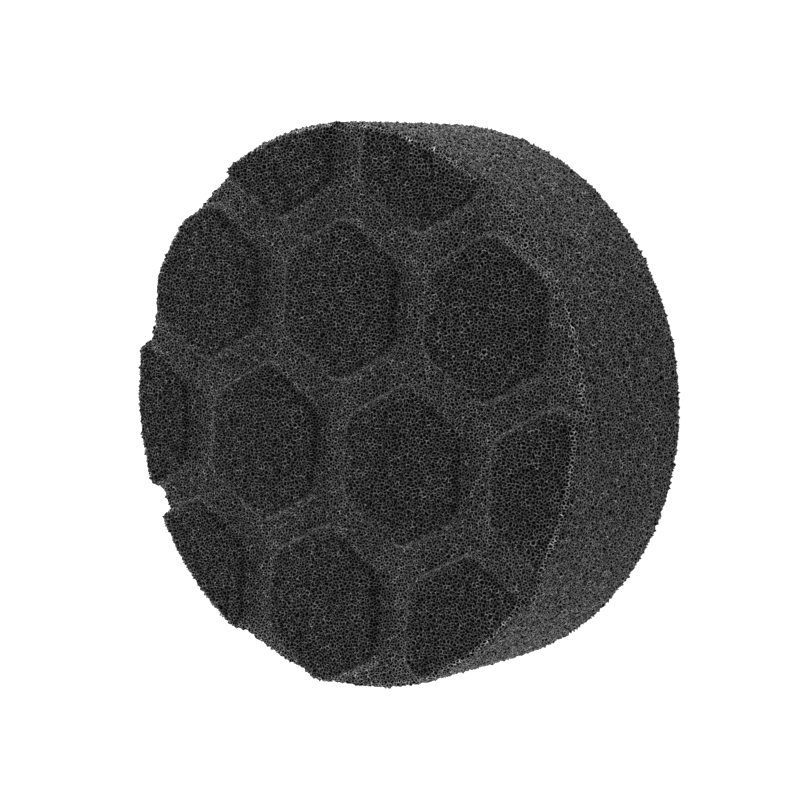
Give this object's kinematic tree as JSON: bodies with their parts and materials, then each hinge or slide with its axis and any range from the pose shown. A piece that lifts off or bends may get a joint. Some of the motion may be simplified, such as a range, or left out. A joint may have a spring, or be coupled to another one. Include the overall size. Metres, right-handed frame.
{
  "type": "polishing pad",
  "caption": "Round open-cell foam polishing pad with a raised hexagon working face and a bonded loop backing.",
  "frame": {"origin": "centre of the round loop face, where the pad rests on its backing plate", "axes": "+Z along the spin axis from the loop face to the working face; +X along a row of the hexagon pattern"},
  "size_m": [0.08, 0.08, 0.0285],
  "materials": {
    "foam": "open-cell polyurethane foam, black, matt with fine glints from the cell struts",
    "film": "hot-melt adhesive film, satin",
    "cloth": "knitted nylon ground cloth, black",
    "pile": "brushed nylon loops, black"
  },
  "bodies": {
    "root": {"foam_body": "foam", "adhesive_film": "film", "loop_cloth": "cloth", "loop_pile": "pile"}
  },
  "joints": []
}
